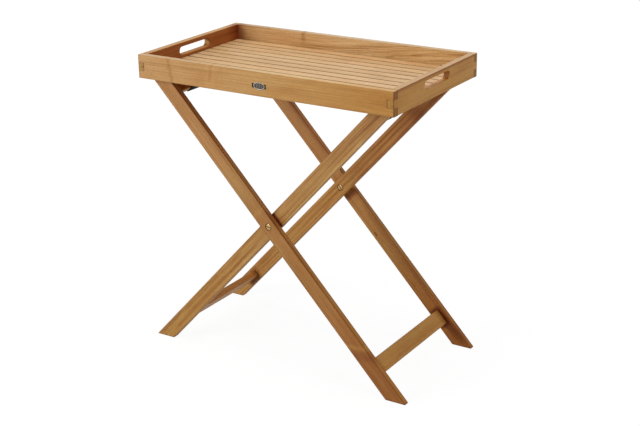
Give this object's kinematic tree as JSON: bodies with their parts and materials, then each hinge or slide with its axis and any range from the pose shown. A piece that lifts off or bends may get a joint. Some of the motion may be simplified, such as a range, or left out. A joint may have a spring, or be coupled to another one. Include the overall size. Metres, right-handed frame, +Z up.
{
  "type": "tray table",
  "caption": "Slatted wooden serving tray with box-jointed sides and hand holes, on a folding crossed-leg stand held open by webbing straps.",
  "frame": {"origin": "on the floor under the middle of the stand", "axes": "+Z up, +X along the tray's long side, +Y from the plate side to the rear"},
  "size_m": [0.7444, 0.4064, 0.756],
  "materials": {
    "tray_wood": "sanded teak, light honey, straight grain",
    "end_wood": "sanded teak, olive-honey, straight grain",
    "slat_wood": "sanded teak, pale honey, straight grain",
    "leg_wood": "sanded teak, reddish brown, straight grain",
    "brass": "satin brass, slotted heads",
    "plate_metal": "plain brushed plate with dark tabs",
    "webbing": "black woven webbing"
  },
  "bodies": {
    "outer_frame": {"outer_leg_front": "leg_wood", "outer_leg_rear": "leg_wood", "outer_stretcher": "leg_wood", "outer_top_rail": "leg_wood", "pivot_bolt_front": "brass", "pivot_bolt_rear": "brass", "sleeve_nut_front": "brass", "sleeve_nut_rear": "brass", "pivot_washer_front": "brass", "pivot_washer_rear": "brass", "strap_front": "webbing", "strap_rear": "webbing"},
    "inner_frame": {"inner_leg_front": "leg_wood", "inner_leg_rear": "leg_wood", "inner_stretcher": "leg_wood", "inner_top_rail": "leg_wood"},
    "tray": {"tray_front_board": "tray_wood", "tray_rear_board": "tray_wood", "tray_left_end": "end_wood", "tray_right_end": "end_wood", "slat_01": "slat_wood", "slat_02": "slat_wood", "slat_03": "slat_wood", "slat_04": "slat_wood", "slat_05": "slat_wood", "slat_06": "slat_wood", "slat_07": "slat_wood", "slat_08": "slat_wood", "slat_09": "slat_wood", "slat_10": "slat_wood", "slat_11": "slat_wood", "slat_12": "slat_wood", "tray_batten_left": "slat_wood", "tray_batten_right": "slat_wood", "front_plate": "plate_metal"}
  },
  "joints": [
    {"name": "fold", "type": "hinge", "parent": "outer_frame", "child": "inner_frame", "pos_m": [0, 0, 0.3735], "axis": [0, -1, 0], "range_deg": [0, 81], "deforming": ["strap_front", "strap_rear"]},
    {"name": "tray_lift", "type": "slide", "parent": "outer_frame", "child": "tray", "axis": [0, 0, 1], "range_m": [0, 0.52]}
  ],
  "couplings": [
    {"joint": "tray_lift", "follows": "fold", "m_per_rad": 0.36}
  ]
}
